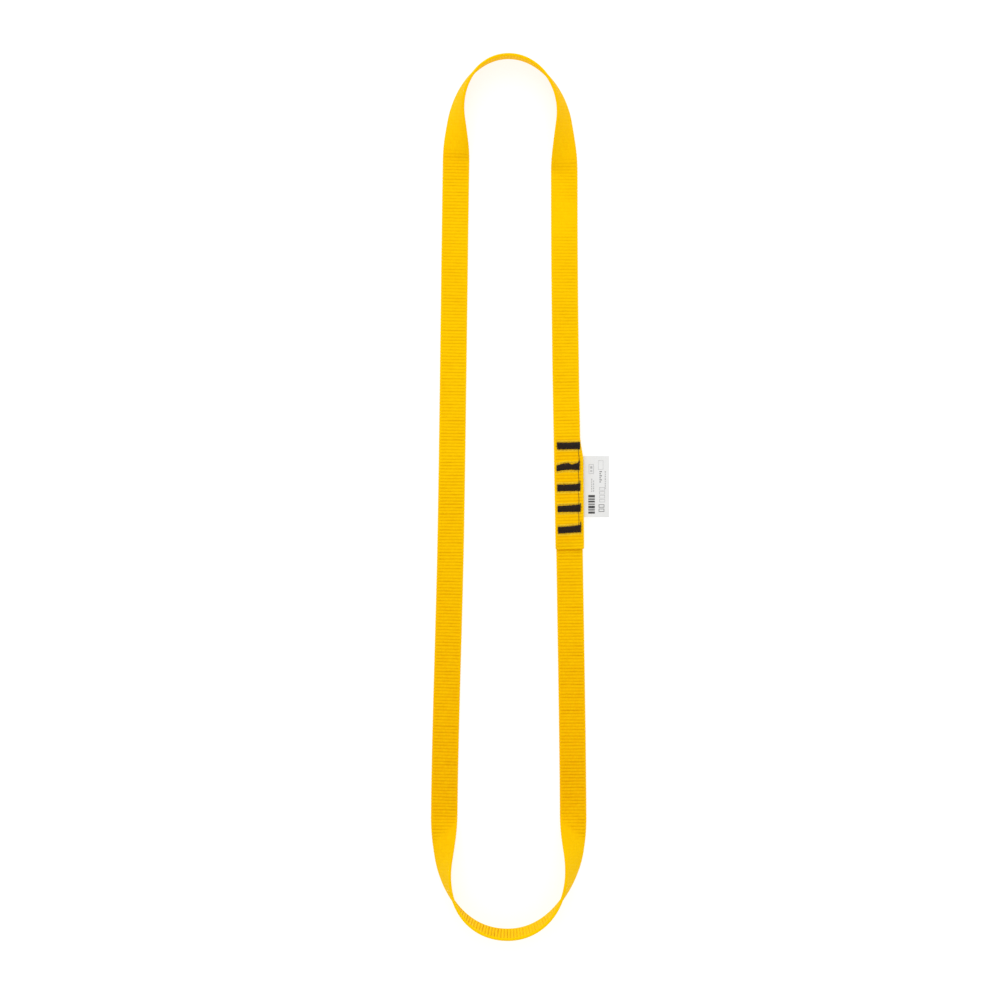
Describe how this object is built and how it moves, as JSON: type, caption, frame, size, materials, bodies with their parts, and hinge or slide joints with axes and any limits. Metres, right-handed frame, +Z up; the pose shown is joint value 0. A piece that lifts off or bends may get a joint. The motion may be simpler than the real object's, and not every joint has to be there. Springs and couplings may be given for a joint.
{
  "type": "sewn webbing sling",
  "caption": "Flat endless sling of yellow webbing, its overlapped ends sewn with black bar tacks, a printed label in the seam, lying with an eye on edge at each end.",
  "frame": {"origin": "centre of the sling's bounding box, on the surface that it lies on", "axes": "+Y along the legs towards the upper eye, +X towards the leg with the seam and the label, +Z up"},
  "size_m": [0.1135, 0.5611, 0.017],
  "materials": {
    "webbing": "woven polyester webbing, slightly shiny",
    "thread": "bonded sewing thread, semi-matt",
    "label": "coated label tape, satin, with grey print"
  },
  "bodies": {
    "middle": {"webbing_left_leg": "webbing", "webbing_seam_top_layer": "webbing", "webbing_seam_bottom_layer": "webbing", "bar_tack_1_needle_thread": "thread", "bar_tack_1_bobbin_thread": "thread", "bar_tack_2_needle_thread": "thread", "bar_tack_2_bobbin_thread": "thread", "bar_tack_3_needle_thread": "thread", "bar_tack_3_bobbin_thread": "thread", "bar_tack_4_needle_thread": "thread", "bar_tack_4_bobbin_thread": "thread", "bar_tack_5_needle_thread": "thread", "bar_tack_5_bobbin_thread": "thread", "jump_1_needle_thread": "thread", "jump_1_bobbin_thread": "thread", "jump_2_needle_thread": "thread", "jump_2_bobbin_thread": "thread", "jump_3_needle_thread": "thread", "jump_3_bobbin_thread": "thread", "jump_4_needle_thread": "thread", "jump_4_bobbin_thread": "thread", "label_sewn_margin": "label"},
    "upper_end": {"webbing_upper_eye": "webbing"},
    "lower_end": {"webbing_lower_eye": "webbing"},
    "label": {"label_flap": "label"}
  },
  "joints": [
    {"name": "upper_end_fold", "type": "hinge", "parent": "middle", "child": "upper_end", "pos_m": [0, 0.145, 0.003], "axis": [1, 0, 0], "range_deg": [0, 170]},
    {"name": "lower_end_fold", "type": "hinge", "parent": "middle", "child": "lower_end", "pos_m": [0, -0.145, 0.003], "axis": [-1, 0, 0], "range_deg": [0, 170]},
    {"name": "label_bend", "type": "hinge", "parent": "middle", "child": "label", "pos_m": [0.0417, 0.0064, 0.00302], "axis": [0, -1, 0], "range_deg": [-90, 95], "stiffness_Nm_per_rad": 0.0003}
  ]
}
